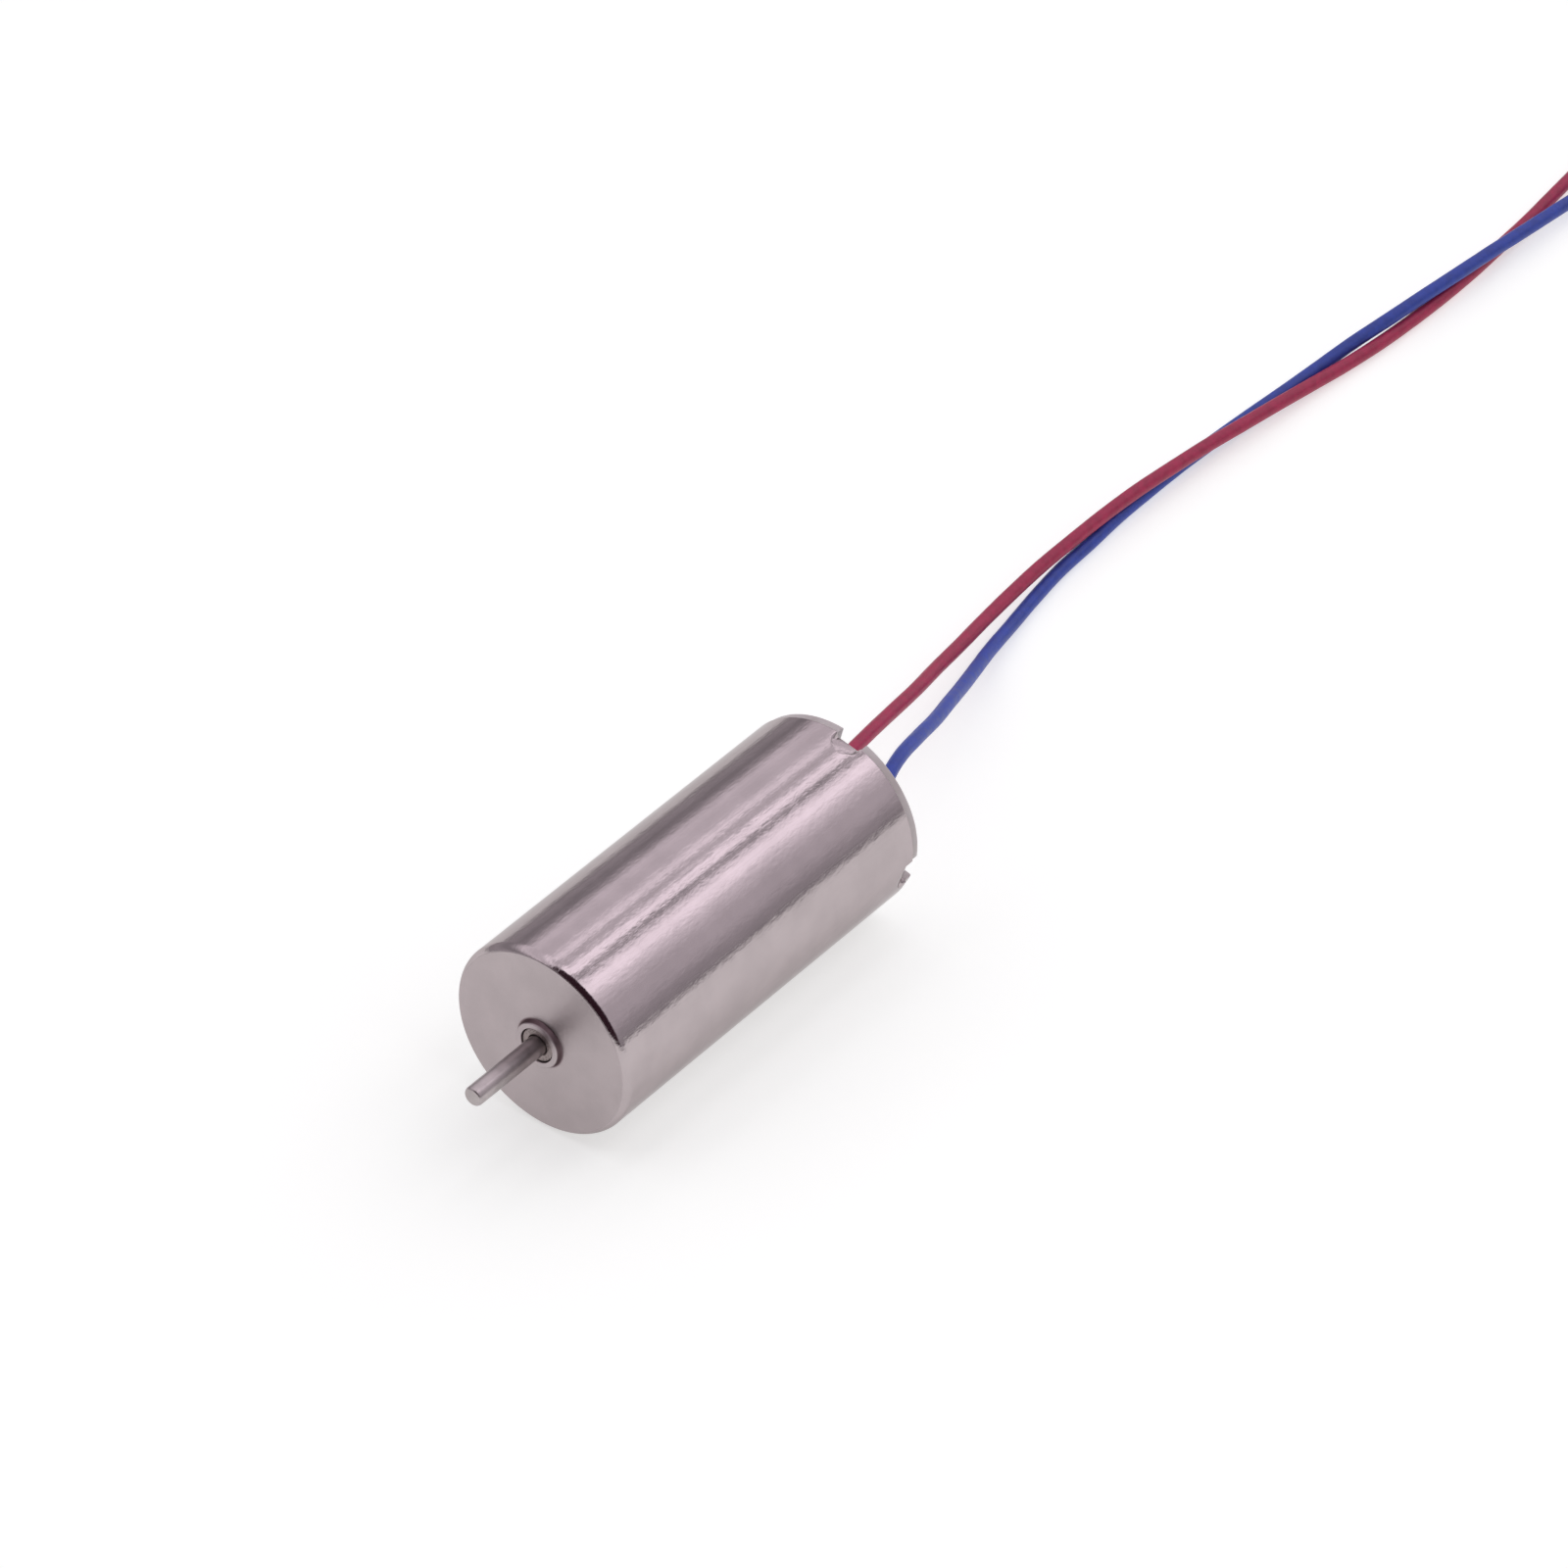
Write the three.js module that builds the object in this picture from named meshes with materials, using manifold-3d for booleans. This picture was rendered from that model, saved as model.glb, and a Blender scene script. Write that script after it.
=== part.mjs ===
// Coreless brushed DC motor of the 10 mm class, with two flying leads.
// Units are millimetres. The origin is the centre of the can's front face, on the shaft axis.
// The shaft points along -Y, the leads leave along +Y, and +Z is up. The motor lies on its side,
// so the surface below it is at z = -CAN_RADIUS.
import * as THREE from 'three';
import { mergeVertices } from 'three/addons/utils/BufferGeometryUtils.js';
import Module from 'manifold-3d';

const wasm = await Module();
wasm.setup();

// Driving dimensions. A radius is measured from the shaft axis, and a Y is measured from the front face.
const GAP = 0.04;
const CAN_RADIUS = 5;
const CAN_WALL = 0.35;
const CAN_RIM_Y = 21.1;
const FRONT_WALL = 0.4;
const FRONT_FILLET = 0.55;
const FRONT_FILLET_START = 30;
const COLLAR_RADIUS = 1.24;
const COLLAR_HEIGHT = 0.3;
const COLLAR_CHAMFER = 0.06;

const SHAFT_RADIUS = 0.5;
const SHAFT_TIP_Y = -4.8;
const SHAFT_END_Y = 20.6;
const SHAFT_CHAMFER = 0.08;
const RUNNING_RADIUS = SHAFT_RADIUS + 0.03;

const BUSH_RADIUS = 0.87;
const BUSH_SEAT_RADIUS = 0.9;
const FRONT_BUSH_Y = [-0.22, 1.9];
const REAR_BUSH_Y = [19.25, 20.7];

const MAGNET_RADIUS = 3;
const MAGNET_Y = [0.6, 14.3];
const CARRIER_RADIUS = 1.4;
const CARRIER_END_Y = 14.6;

const COIL_RADIUS = [3.25, 4.3];
const COIL_Y = [1.2, 16.3];
const HUB_Y = [14.9, 16.1];
const HUB_WEB = 0.8;
const HUB_BOSS_RADIUS = 1.25;
const WASHER = 0.16;
const FRONT_WASHER_RADIUS = 1.2;
const REAR_WASHER_RADIUS = 0.88;

const COMMUTATOR_RADIUS = 1.15;
const COMMUTATOR_CORE_RADIUS = 0.95;
const COMMUTATOR_Y = [16.14, 18.9];
const COMMUTATOR_SEGMENTS = 3;
const SEGMENT_HALF_ANGLE = 55;
const SEGMENT_Y = [16.2, 18.7];
const TAP_WIDTH = 0.5;
const TAP_THICKNESS = 0.12;

const CAP_REAR_Y = 21.6;
const CAP_FLANGE_RADIUS = 4.95;
const CAP_SPIGOT_RADIUS = CAN_RADIUS - CAN_WALL - 0.05;
const CAP_SPIGOT_Y = 18;
const CAP_SPIGOT_WALL = 0.8;
const CAP_BASE_Y = 20.5;
const CAP_BOSS_RADIUS = 1.5;
const CAP_CHAMFER = 0.1;

const CRIMP_ANGLES = [75.5, 165.5, 255.5, 345.5];
const CRIMP_START_Y = 20.3;
const CRIMP_WIDTH = 1.3;
const CRIMP_DEPTH = 0.27;
const CRIMP_RECESS_DEPTH = 0.9;
const CRIMP_RECESS_WIDTH = 1.42;

const TERMINAL_ANGLE = 29.5;
const TERMINAL_RADIUS = 2.05;
const TERMINAL_THICKNESS = 0.2;
const TERMINAL_TIP_Y = 22.6;
const TERMINAL_HALF_WIDTH = 0.45;
const TERMINAL_FOOT_REACH = 1.45;
const TERMINAL_FOOT_Y = [19.6, 20.4];
const TERMINAL_TAIL_HALF_WIDTH = 0.3;
const TERMINAL_NECK_Y = [21.9, 22];
const TERMINAL_SLOT_START_Y = 19;
const BRUSH_THICKNESS = 0.08;
const BRUSH_Y = [17.2, 18.4];
const BRUSH_SLIT = 0.12;
const BRUSH_FREE_END = -0.9;
const SOLDER_Y = [21.7, 22.9];
const SOLDER_RADIUS = 0.5;
const WIRE_ENTRY_RADIUS = 0.22;

const LEAD_RADIUS = 0.35;
const LEAD_SIDES = 8;
const LEAD_STEPS = 36;
const TIP_RADIUS = 0.16;
const TIP_LENGTH = 3;

// The centre lines of the two leads, from the solder joint to where the insulation ends. Each drops
// to the surface, the red one then lies over the blue one, and further on the blue one over the red.
const RED_ROUTE = [
  [-1.78, 22.95, -1.01], [-2.1, 24.1, -0.96], [-2.52, 25.55, -1], [-3.05, 28.1, -1.36],
  [-3.6, 30.7, -1.87], [-4.15, 33.25, -2.4], [-4.8, 35.75, -2.95], [-5.35, 38.35, -3.4],
  [-5.85, 40.95, -3.72], [-6.2, 43.55, -3.88], [-6.4, 46.25, -3.9], [-6.45, 48.9, -3.9],
  [-6.45, 51.55, -3.9], [-6.35, 54.25, -3.9], [-6.15, 56.9, -3.95], [-5.95, 59.55, -4.05],
  [-5.65, 62.2, -4.15], [-5.4, 64.85, -4.3], [-5.15, 67.5, -4.48], [-4.85, 70.15, -4.6],
  [-4.6, 72.8, -4.64], [-4.45, 75.45, -4.64], [-4.4, 78.1, -4.64], [-4.45, 80.8, -4.64],
  [-4.6, 83.45, -4.64], [-4.75, 86.1, -4.64], [-5, 88.75, -4.64], [-5.25, 91.4, -4.64],
  [-5.5, 94, -4.64],
];
const BLUE_ROUTE = [
  [1.78, 22.95, 1.01], [1.33, 24.1, 1.05], [0.82, 25.6, 0.87], [0.07, 27.95, 0.17],
  [-0.75, 30.3, -0.72], [-1.7, 32.65, -1.62], [-2.65, 34.95, -2.55], [-3.6, 37.3, -3.38],
  [-4.48, 39.7, -4.05], [-5.15, 42.25, -4.48], [-5.68, 44.85, -4.62], [-6.05, 47.5, -4.64],
  [-6.2, 50.15, -4.64], [-6.4, 52.85, -4.64], [-6.45, 55.5, -4.64], [-6.45, 58.15, -4.64],
  [-6.35, 60.85, -4.64], [-6.2, 63.5, -4.64], [-6.02, 66.15, -4.64], [-5.8, 68.8, -4.56],
  [-5.45, 71.45, -4.3], [-4.95, 74.05, -4], [-4.62, 76.65, -3.88], [-4.35, 79.35, -3.87],
  [-4.15, 82, -3.92], [-3.97, 84.65, -4.05], [-3.85, 87.3, -4.22], [-3.75, 89.95, -4.42],
  [-3.65, 92.6, -4.58],
];

const MATERIALS = {
  can: { color: 0xb8acac, roughness: 0.28, metalness: 1 },
  steel: { color: 0xc4bdbb, roughness: 0.22, metalness: 1 },
  bronze: { color: 0x9a7748, roughness: 0.5, metalness: 1 },
  brass: { color: 0xc2a158, roughness: 0.35, metalness: 1 },
  magnet: { color: 0x8d8f92, roughness: 0.4, metalness: 1 },
  copper: { color: 0xa8552c, roughness: 0.4, metalness: 0.9 },
  ivory: { color: 0xd9d2c5, roughness: 0.45, metalness: 0 },
  black: { color: 0x26221f, roughness: 0.5, metalness: 0 },
  amber: { color: 0xb98a3c, roughness: 0.5, metalness: 0 },
  silver: { color: 0xd6cfae, roughness: 0.3, metalness: 1 },
  solder: { color: 0xb9bcbe, roughness: 0.3, metalness: 1 },
  red: { color: 0xa2324a, roughness: 0.4, metalness: 0 },
  blue: { color: 0x3b4c9c, roughness: 0.4, metalness: 0 },
};

// Solids

function closedLathe(points, sides) {
  const profile = points.map(([r, y]) => new THREE.Vector2(r, y));
  return new THREE.LatheGeometry(profile, sides);
}

function ring(innerRadius, outerRadius, [y0, y1], sides = 40) {
  const corners = [[innerRadius, y0], [outerRadius, y0], [outerRadius, y1], [innerRadius, y1]];
  return closedLathe([...corners, corners[0]], sides);
}

function extrusion(outline, depth) {
  const shape = new THREE.Shape(outline.map(([x, y]) => new THREE.Vector2(x, y)));
  return new THREE.ExtrudeGeometry(shape, { depth, bevelEnabled: false });
}

// A plate whose faces look along X, with its outline given as [z, y].
function plateAcrossX(outline, xLow, thickness) {
  return extrusion(outline, thickness).rotateY(-Math.PI / 2).translate(xLow + thickness, 0, 0);
}

// A plate whose faces look along Z, with its outline given as [x, y].
function plateAcrossZ(outline, zLow, thickness) {
  return extrusion(outline, thickness).translate(0, 0, zLow);
}

// A part of a ring about the Y axis, centred on +X.
function ringSegment(innerRadius, outerRadius, halfAngle, [y0, y1]) {
  const half = THREE.MathUtils.degToRad(halfAngle);
  const shape = new THREE.Shape();
  shape.absarc(0, 0, outerRadius, -half, half, false);
  shape.absarc(0, 0, innerRadius, half, -half, true);
  const options = { depth: y1 - y0, bevelEnabled: false, curveSegments: 10 };
  return new THREE.ExtrudeGeometry(shape, options).rotateX(-Math.PI / 2).translate(0, y0, 0);
}

function box([x0, x1], [y0, y1], [z0, z1]) {
  const geometry = new THREE.BoxGeometry(x1 - x0, y1 - y0, z1 - z0);
  return geometry.translate((x0 + x1) / 2, (y0 + y1) / 2, (z0 + z1) / 2);
}

function toManifold(geometry) {
  const bare = geometry.clone();
  bare.deleteAttribute('normal');
  bare.deleteAttribute('uv');
  const merged = mergeVertices(bare, 1e-5);
  return new wasm.Manifold(new wasm.Mesh({
    numProp: 3,
    vertProperties: new Float32Array(merged.attributes.position.array),
    triVerts: new Uint32Array(merged.index.array),
  }));
}

function toGeometry(manifold) {
  const mesh = manifold.getMesh();
  const geometry = new THREE.BufferGeometry();
  geometry.setAttribute('position', new THREE.BufferAttribute(mesh.vertProperties, 3));
  geometry.setIndex(new THREE.BufferAttribute(mesh.triVerts, 1));
  geometry.computeVertexNormals();
  return geometry;
}

function cut(geometry, tools) {
  let solid = toManifold(geometry);
  for (const tool of tools) {
    solid = solid.subtract(toManifold(tool));
  }
  return toGeometry(solid);
}

function join(geometry, additions) {
  let solid = toManifold(geometry);
  for (const addition of additions) {
    solid = solid.add(toManifold(addition));
  }
  return toGeometry(solid);
}

// Turns +X to the given angle, counted from +X towards +Z about the shaft axis.
function turned(geometry, degrees) {
  return geometry.rotateY(-THREE.MathUtils.degToRad(degrees));
}

function piece(parent, name, geometry, finish) {
  const mesh = new THREE.Mesh(geometry, new THREE.MeshStandardMaterial(MATERIALS[finish]));
  mesh.name = name;
  parent.add(mesh);
  return mesh;
}

// Housing

// The front edge's rounding meets the flat face at a visible line, and runs smoothly into the wall.
function frontEdge(steps) {
  const start = THREE.MathUtils.degToRad(FRONT_FILLET_START);
  const points = [];
  for (let i = 0; i <= steps; i += 1) {
    const angle = start + (Math.PI / 2 - start) * (i / steps);
    points.push([
      CAN_RADIUS - FRONT_FILLET * (1 - Math.sin(angle)),
      FRONT_FILLET * (Math.cos(start) - Math.cos(angle)),
    ]);
  }
  return points;
}

// The rim is staked inwards at four places to hold the end cap.
function canHousing() {
  const inner = CAN_RADIUS - CAN_WALL;
  const start = [BUSH_SEAT_RADIUS, -COLLAR_HEIGHT];
  const shell = closedLathe([
    start,
    [COLLAR_RADIUS - COLLAR_CHAMFER, -COLLAR_HEIGHT],
    [COLLAR_RADIUS, COLLAR_CHAMFER - COLLAR_HEIGHT],
    [COLLAR_RADIUS, 0],
    ...frontEdge(6),
    [CAN_RADIUS, CAN_RIM_Y],
    [inner, CAN_RIM_Y],
    [inner, FRONT_WALL],
    [BUSH_SEAT_RADIUS, FRONT_WALL],
    start,
  ], 64);
  const half = CRIMP_WIDTH / 2;
  const notchY = CRIMP_START_Y + 0.2;
  const notches = CRIMP_ANGLES.map((angle) => turned(
    box([inner - 0.4, CAN_RADIUS + 0.3], [notchY, CAN_RIM_Y + 0.3], [-half, half]),
    angle,
  ));
  const tabOutline = [
    [inner + 0.04, CRIMP_START_Y],
    [CAN_RADIUS - 0.03, CRIMP_START_Y],
    [CAN_RADIUS - 0.05, notchY],
    [CAN_RADIUS - CRIMP_DEPTH, CAN_RIM_Y - 0.05],
    [CAN_RADIUS - CRIMP_DEPTH - CAN_WALL, CAN_RIM_Y - 0.05],
    [inner - 0.06, notchY],
  ];
  const tabs = CRIMP_ANGLES.map((angle) => turned(
    plateAcrossZ(tabOutline, GAP / 2 - half, CRIMP_WIDTH - GAP),
    angle,
  ));
  return join(cut(shell, notches), tabs);
}

function endCap() {
  const body = closedLathe([
    [0, SHAFT_END_Y + 0.2],
    [BUSH_SEAT_RADIUS, SHAFT_END_Y + 0.2],
    [BUSH_SEAT_RADIUS, REAR_BUSH_Y[0] + 0.05],
    [CAP_BOSS_RADIUS, REAR_BUSH_Y[0] + 0.05],
    [CAP_BOSS_RADIUS, CAP_BASE_Y],
    [CAP_SPIGOT_RADIUS - CAP_SPIGOT_WALL, CAP_BASE_Y],
    [CAP_SPIGOT_RADIUS - CAP_SPIGOT_WALL, CAP_SPIGOT_Y],
    [CAP_SPIGOT_RADIUS, CAP_SPIGOT_Y],
    [CAP_SPIGOT_RADIUS, CAN_RIM_Y + 0.02],
    [CAP_FLANGE_RADIUS, CAN_RIM_Y + 0.02],
    [CAP_FLANGE_RADIUS, CAP_REAR_Y - CAP_CHAMFER],
    [CAP_FLANGE_RADIUS - CAP_CHAMFER, CAP_REAR_Y],
    [0, CAP_REAR_Y],
  ], 64);
  const half = CRIMP_RECESS_WIDTH / 2;
  const floor = CAN_RADIUS - CRIMP_RECESS_DEPTH;
  const recesses = CRIMP_ANGLES.map((angle) => turned(
    box([floor, CAN_RADIUS + 0.3], [CRIMP_START_Y - 0.1, CAP_REAR_Y + 0.3], [-half, half]),
    angle,
  ));
  const slotHalf = TERMINAL_THICKNESS / 2 + GAP;
  const slotX = [TERMINAL_RADIUS - slotHalf, TERMINAL_RADIUS + slotHalf];
  const slots = [TERMINAL_ANGLE, TERMINAL_ANGLE + 180].map((angle) => turned(
    box(slotX, [TERMINAL_SLOT_START_Y, CAP_REAR_Y + 1], [-0.5, 0.5]),
    angle,
  ));
  return cut(body, [...recesses, ...slots]);
}

// Brush gear

function terminal() {
  const [footY, shoulderY] = TERMINAL_FOOT_Y;
  const [neckY, tailY] = TERMINAL_NECK_Y;
  const half = TERMINAL_HALF_WIDTH;
  const tail = TERMINAL_TAIL_HALF_WIDTH;
  const outline = [
    [-half, BRUSH_Y[0]], [TERMINAL_FOOT_REACH, BRUSH_Y[0]], [TERMINAL_FOOT_REACH, footY], [half, shoulderY],
    [half, neckY], [tail, tailY], [tail, TERMINAL_TIP_Y],
    [-tail, TERMINAL_TIP_Y], [-tail, tailY], [-half, neckY],
  ];
  return plateAcrossX(outline, TERMINAL_RADIUS - TERMINAL_THICKNESS / 2, TERMINAL_THICKNESS);
}

// A leaf with three spring fingers that bear on the side of the commutator.
function brush() {
  const heel = TERMINAL_RADIUS - TERMINAL_THICKNESS / 2 - 0.02;
  const root = heel - 0.95;
  const fingers = 3;
  const finger = (BRUSH_Y[1] - BRUSH_Y[0] - (fingers - 1) * BRUSH_SLIT) / fingers;
  const outline = [[heel, BRUSH_Y[0]], [heel, BRUSH_Y[1]]];
  for (let i = fingers - 1; i >= 0; i -= 1) {
    const low = BRUSH_Y[0] + i * (finger + BRUSH_SLIT);
    const top = i === fingers - 1 ? [] : [[root, low + finger]];
    const bottom = i === 0 ? [] : [[root, low]];
    outline.push(...top, [BRUSH_FREE_END, low + finger], [BRUSH_FREE_END, low], ...bottom);
  }
  return plateAcrossZ(outline, COMMUTATOR_RADIUS + 0.05, BRUSH_THICKNESS);
}

function solderJoint() {
  const [low, high] = SOLDER_Y;
  const width = SOLDER_RADIUS;
  const blob = closedLathe([
    [0, low], [0.72 * width, low + 0.06], [0.96 * width, low + 0.3], [width, low + 0.6],
    [0.84 * width, high - 0.24], [WIRE_ENTRY_RADIUS, high], [0, high],
  ], 20);
  const halfThickness = TERMINAL_THICKNESS / 2 + 0.02;
  const halfTail = TERMINAL_TAIL_HALF_WIDTH + 0.02;
  const halfNeck = TERMINAL_HALF_WIDTH + 0.02;
  const slotStart = low - 0.7;
  const acrossX = [-halfThickness, halfThickness];
  const slot = box(acrossX, [slotStart, TERMINAL_TIP_Y + 0.02], [-halfTail, halfTail]);
  const neck = box(acrossX, [slotStart, TERMINAL_NECK_Y[1] - 0.02], [-halfNeck, halfNeck]);
  return cut(blob, [slot, neck]).translate(TERMINAL_RADIUS, 0, 0);
}

// Leads

function leadSection() {
  const corners = [];
  for (let i = 0; i < LEAD_SIDES; i += 1) {
    const angle = (2 * Math.PI * (i + 0.5)) / LEAD_SIDES;
    corners.push(new THREE.Vector2(LEAD_RADIUS * Math.cos(angle), LEAD_RADIUS * Math.sin(angle)));
  }
  return new THREE.Shape(corners);
}

function leadCurve(route) {
  const points = route.map((point) => new THREE.Vector3(...point));
  return new THREE.CatmullRomCurve3(points, false, 'centripetal');
}

function leadInsulation(route) {
  return new THREE.ExtrudeGeometry(leadSection(), {
    steps: LEAD_STEPS,
    bevelEnabled: false,
    extrudePath: leadCurve(route),
  });
}

// The stripped and tinned end carries on in the direction in which the insulation stops.
function leadTip(parent, name, route) {
  const direction = leadCurve(route).getTangent(1);
  const start = new THREE.Vector3(...route[route.length - 1]);
  const core = new THREE.CylinderGeometry(TIP_RADIUS, TIP_RADIUS, TIP_LENGTH, 12);
  const tip = piece(parent, name, core, 'solder');
  tip.quaternion.setFromUnitVectors(new THREE.Vector3(0, 1, 0), direction);
  tip.position.copy(start).addScaledVector(direction, GAP + TIP_LENGTH / 2);
}

// Assembly

const motor = new THREE.Group();
const stator = new THREE.Group();
const rotor = new THREE.Group();
motor.add(stator, rotor);

piece(stator, 'can_housing', canHousing(), 'can');
piece(stator, 'front_bearing', ring(RUNNING_RADIUS, BUSH_RADIUS, FRONT_BUSH_Y, 32), 'bronze');
const carrierY = [FRONT_WALL + GAP, CARRIER_END_Y];
piece(stator, 'magnet_carrier', ring(BUSH_SEAT_RADIUS, CARRIER_RADIUS, carrierY), 'brass');
piece(stator, 'magnet', ring(CARRIER_RADIUS + 0.03, MAGNET_RADIUS, MAGNET_Y, 48), 'magnet');
piece(stator, 'end_cap', endCap(), 'ivory');
piece(stator, 'rear_bearing', ring(RUNNING_RADIUS, BUSH_RADIUS, REAR_BUSH_Y, 32), 'bronze');

const poles = [
  { colour: 'blue', angle: TERMINAL_ANGLE, route: BLUE_ROUTE },
  { colour: 'red', angle: TERMINAL_ANGLE + 180, route: RED_ROUTE },
];
for (const { colour, angle, route } of poles) {
  const side = new THREE.Group();
  side.rotation.y = -THREE.MathUtils.degToRad(angle);
  stator.add(side);
  piece(side, `terminal_${colour}`, terminal(), 'brass');
  piece(side, `brush_${colour}`, brush(), 'silver');
  piece(side, `solder_joint_${colour}`, solderJoint(), 'solder');
  piece(stator, `lead_${colour}`, leadInsulation(route), colour);
  leadTip(stator, `lead_tip_${colour}`, route);
}

const shaft = closedLathe([
  [0, SHAFT_TIP_Y], [SHAFT_RADIUS - SHAFT_CHAMFER, SHAFT_TIP_Y], [SHAFT_RADIUS, SHAFT_TIP_Y + SHAFT_CHAMFER],
  [SHAFT_RADIUS, SHAFT_END_Y - SHAFT_CHAMFER], [SHAFT_RADIUS - SHAFT_CHAMFER, SHAFT_END_Y], [0, SHAFT_END_Y],
], 32);
const hubWebY = HUB_Y[1] - HUB_WEB;
const hubRadius = COIL_RADIUS[0] - 0.05;
const rotorHub = closedLathe([
  [RUNNING_RADIUS, HUB_Y[0]], [HUB_BOSS_RADIUS, HUB_Y[0]], [HUB_BOSS_RADIUS, hubWebY], [hubRadius, hubWebY],
  [hubRadius, HUB_Y[1]], [RUNNING_RADIUS, HUB_Y[1]], [RUNNING_RADIUS, HUB_Y[0]],
], 40);
const frontWasherY = [HUB_Y[0] - GAP - WASHER, HUB_Y[0] - GAP];
const rearWasherY = [COMMUTATOR_Y[1] + GAP, COMMUTATOR_Y[1] + GAP + WASHER];

piece(rotor, 'shaft', shaft, 'steel');
piece(rotor, 'coil_winding', ring(...COIL_RADIUS, COIL_Y, 48), 'copper');
piece(rotor, 'rotor_hub', rotorHub, 'black');
piece(rotor, 'commutator_core', ring(RUNNING_RADIUS, COMMUTATOR_CORE_RADIUS, COMMUTATOR_Y, 32), 'black');
piece(rotor, 'front_thrust_washer', ring(RUNNING_RADIUS, FRONT_WASHER_RADIUS, frontWasherY, 32), 'amber');
piece(rotor, 'rear_thrust_washer', ring(RUNNING_RADIUS, REAR_WASHER_RADIUS, rearWasherY, 32), 'amber');

for (let i = 0; i < COMMUTATOR_SEGMENTS; i += 1) {
  const sector = new THREE.Group();
  sector.rotation.y = (2 * Math.PI * i) / COMMUTATOR_SEGMENTS;
  rotor.add(sector);
  const innerRadius = COMMUTATOR_CORE_RADIUS + 0.02;
  const segment = ringSegment(innerRadius, COMMUTATOR_RADIUS, SEGMENT_HALF_ANGLE, SEGMENT_Y);
  const tapY = [COIL_Y[1] + GAP, COIL_Y[1] + GAP + TAP_THICKNESS];
  const tap = box([COMMUTATOR_RADIUS + GAP, COIL_RADIUS[1] - 0.3], tapY, [-TAP_WIDTH / 2, TAP_WIDTH / 2]);
  piece(sector, `commutator_segment_${i + 1}`, segment, 'silver');
  piece(sector, `coil_tap_${i + 1}`, tap, 'copper');
}

export default motor;
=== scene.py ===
"""The looks of a small coreless DC motor with two leads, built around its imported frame.

Lengths are in metres. The motor lies on its side along Y: the shaft points along -Y, the leads leave
along +Y, and +Z is up. Angles about the shaft axis are counted from +X towards +Z.
"""
import math

import bmesh
import bpy
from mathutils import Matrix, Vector, noise


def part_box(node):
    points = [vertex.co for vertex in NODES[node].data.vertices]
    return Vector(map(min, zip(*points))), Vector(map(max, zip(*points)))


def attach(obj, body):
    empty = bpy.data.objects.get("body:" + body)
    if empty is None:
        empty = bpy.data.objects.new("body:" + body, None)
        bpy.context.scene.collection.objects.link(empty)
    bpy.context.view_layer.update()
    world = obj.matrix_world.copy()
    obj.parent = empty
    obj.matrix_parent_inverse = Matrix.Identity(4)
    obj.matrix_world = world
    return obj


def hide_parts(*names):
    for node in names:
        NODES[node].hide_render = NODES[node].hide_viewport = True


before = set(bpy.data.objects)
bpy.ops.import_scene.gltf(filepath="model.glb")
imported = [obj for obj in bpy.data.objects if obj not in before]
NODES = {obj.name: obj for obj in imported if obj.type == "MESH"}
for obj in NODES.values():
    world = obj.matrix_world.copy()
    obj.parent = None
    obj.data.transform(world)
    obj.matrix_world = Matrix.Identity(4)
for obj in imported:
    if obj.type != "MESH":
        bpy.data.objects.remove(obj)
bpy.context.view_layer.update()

MM = 0.001

# Camera: where it stands, where it looks, and its lens on a 36 mm sensor.
CAMERA_PLACE = Vector((0.1899, -0.2249, 0.2509))
CAMERA_LOOK = Vector((-0.4807, 0.6143, -0.6258))
CAMERA_LENS = 197.3

# Angles of the four places where the can's rim is staked, and of the blue lead's terminal.
CRIMP_ANGLES = (75.5, 165.5, 255.5, 345.5)
TERMINAL_ANGLE = 29.5

# The leads' routes, in metres, as in the frame's design.
RED_ROUTE = [
    (-0.00178, 0.02295, -0.00101), (-0.0021, 0.0241, -0.00096), (-0.00252, 0.02555, -0.001),
    (-0.00305, 0.0281, -0.00136), (-0.0036, 0.0307, -0.00187), (-0.00415, 0.03325, -0.0024),
    (-0.0048, 0.03575, -0.00295), (-0.00535, 0.03835, -0.0034), (-0.00585, 0.04095, -0.00372),
    (-0.0062, 0.04355, -0.00388), (-0.0064, 0.04625, -0.0039), (-0.00645, 0.0489, -0.0039),
    (-0.00645, 0.05155, -0.0039), (-0.00635, 0.05425, -0.0039), (-0.00615, 0.0569, -0.00395),
    (-0.00595, 0.05955, -0.00405), (-0.00565, 0.0622, -0.00415), (-0.0054, 0.06485, -0.0043),
    (-0.00515, 0.0675, -0.00448), (-0.00485, 0.07015, -0.0046), (-0.0046, 0.0728, -0.00464),
    (-0.00445, 0.07545, -0.00464), (-0.0044, 0.0781, -0.00464), (-0.00445, 0.0808, -0.00464),
    (-0.0046, 0.08345, -0.00464), (-0.00475, 0.0861, -0.00464), (-0.005, 0.08875, -0.00464),
    (-0.00525, 0.0914, -0.00464), (-0.0055, 0.094, -0.00464),
]
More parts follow.
